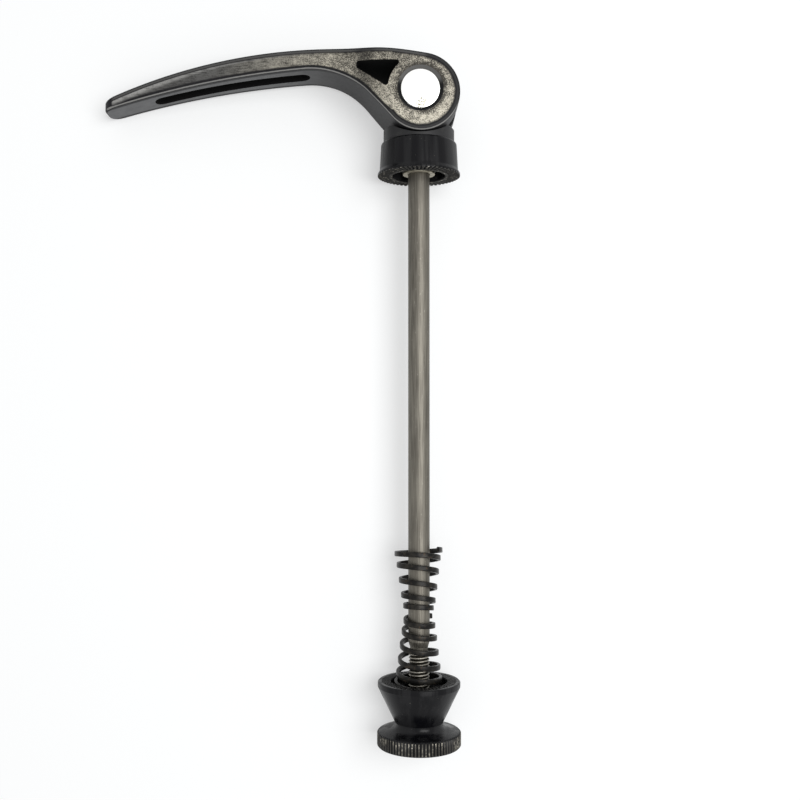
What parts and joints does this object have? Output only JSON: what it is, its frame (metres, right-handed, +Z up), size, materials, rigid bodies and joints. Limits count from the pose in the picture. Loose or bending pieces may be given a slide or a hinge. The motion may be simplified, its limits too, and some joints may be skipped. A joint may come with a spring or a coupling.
{
  "type": "quick release skewer",
  "caption": "Bicycle wheel quick release: a rod with a cam lever and clamp cup at one end, a cone adjusting nut at the other, and conical springs between.",
  "frame": {"origin": "on the rod's axis, in the plane of the cup's toothed clamp face", "axes": "+Y along the rod towards the lever, +Z up as the skewer lies on its cup, its thumb disc and the lever's tip, with the closed lever towards -X"},
  "size_m": [0.0823, 0.1601, 0.0194],
  "materials": {
    "rod_steel": "drawn along its length, lightly scratched",
    "barrel_steel": "faced and plated, bright",
    "lever_black": "black anodised, worn and mottled on the flat faces",
    "saddle_plastic": "matte black",
    "turned_black": "turned, glossy black",
    "washer_steel": "bare, dull",
    "ring_nylon": "natural nylon",
    "spring_steel": "blackened, specks of rust"
  },
  "bodies": {
    "rod": {"skewer_rod": "rod_steel", "pivot_barrel": "barrel_steel"},
    "lever": {"lever": "lever_black"},
    "saddle": {"cam_saddle": "saddle_plastic"},
    "cup": {"clamp_cup": "turned_black", "cup_washer": "washer_steel"},
    "nut_spring": {"nut_spring": "spring_steel"},
    "nut": {"adjusting_nut": "turned_black", "nut_lock_ring": "ring_nylon"},
    "lever_spring": {"lever_spring": "spring_steel"}
  },
  "joints": [
    {"name": "lever_swing", "type": "hinge", "parent": "rod", "child": "lever", "pos_m": [0, 0.0179, 0], "axis": [0.0755, 0, -0.9971], "range_deg": [0, 150]},
    {"name": "saddle_slide", "type": "slide", "parent": "rod", "child": "saddle", "axis": [0, -1, 0], "range_m": [0, 0.03]},
    {"name": "cup_turn", "type": "hinge", "parent": "saddle", "child": "cup", "pos_m": [0, 0, 0], "axis": [0, 1, 0], "continuous": true},
    {"name": "nut_travel", "type": "slide", "parent": "rod", "child": "nut_spring", "axis": [0, 1, 0], "range_m": [-0.0033, 0.0081]},
    {"name": "nut_spin", "type": "hinge", "parent": "nut_spring", "child": "nut", "pos_m": [0, -0.1174, 0], "axis": [0, 1, 0], "range_deg": [-1440, 3600]},
    {"name": "spring_slide", "type": "slide", "parent": "nut_spring", "child": "lever_spring", "axis": [0, 1, 0], "range_m": [0, 0.045]}
  ],
  "couplings": [
    {"joint": "nut_travel", "follows": "nut_spin", "m_per_rad": 0.00012732}
  ]
}
